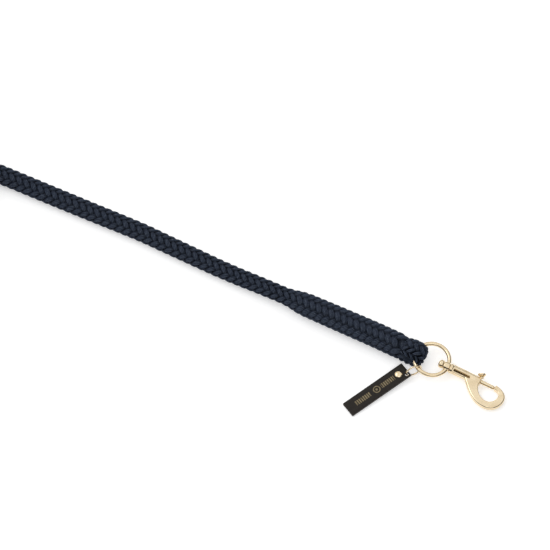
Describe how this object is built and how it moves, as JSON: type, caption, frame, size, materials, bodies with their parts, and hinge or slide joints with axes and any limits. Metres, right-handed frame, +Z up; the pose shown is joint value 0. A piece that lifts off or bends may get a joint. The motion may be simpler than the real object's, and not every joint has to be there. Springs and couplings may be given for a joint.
{
  "type": "lead rope",
  "caption": "Braided lead rope with a spliced eye on a swivel ring, a spring-loaded bolt snap and a small leather tag; the spare length is tied in a hank.",
  "frame": {"origin": "on the surface the rope lies on, under the middle of the box round the splice, the eye, the snap and the tag", "axes": "+X along the rope towards the snap's hook, +Y to the snap's gate side, +Z up from the surface"},
  "size_m": [0.8792, 0.1067, 0.0548],
  "materials": {
    "rope_yarn": "matte",
    "gold_plate": "polished",
    "spring_wire": "satin",
    "tag_leather": "satin",
    "tie_webbing": "matte"
  },
  "bodies": {
    "rope": {"rope_splice": "rope_yarn", "rope_eye": "rope_yarn", "rope_standing": "rope_yarn", "rope_hank": "rope_yarn", "hank_tie": "tie_webbing", "rope_end": "rope_yarn"},
    "ring": {"swivel_ring": "gold_plate"},
    "snap": {"snap_body": "gold_plate", "swivel_stud": "gold_plate", "bolt_spring": "spring_wire"},
    "bolt": {"bolt_rod": "gold_plate", "thumb_knob": "gold_plate"},
    "jump_ring": {"tag_jump_ring": "gold_plate"},
    "tag": {"tag_strap": "tag_leather", "tag_rivet_cap": "gold_plate", "tag_rivet_post": "gold_plate"}
  },
  "joints": [
    {"name": "ring_swing", "type": "hinge", "parent": "rope", "child": "ring", "pos_m": [0.02361, 0.03388, 0.0118], "axis": [0, -1, 0], "range_deg": [0, 75]},
    {"name": "snap_swivel", "type": "hinge", "parent": "ring", "child": "snap", "pos_m": [0.06182, 0.03388, 0.00856], "axis": [-0.9964, 0, 0.0845], "continuous": true},
    {"name": "bolt_slide", "type": "slide", "parent": "snap", "child": "bolt", "axis": [-0.9964, 0, 0.0845], "range_m": [0, 0.012], "stiffness_N_per_m": 350, "springref_m": -0.015, "deforming": ["bolt_spring"]},
    {"name": "jump_ring_swing", "type": "hinge", "parent": "ring", "child": "jump_ring", "pos_m": [0.03252, 0.0187, 0.01104], "axis": [-0.8715, 0.4848, 0.0739], "range_deg": [0, 32]},
    {"name": "tag_swing", "type": "hinge", "parent": "jump_ring", "child": "tag", "pos_m": [0.02961, 0.0153, 0.00903], "axis": [-0.7601, 0.6498, 0], "range_deg": [0, 35]}
  ]
}
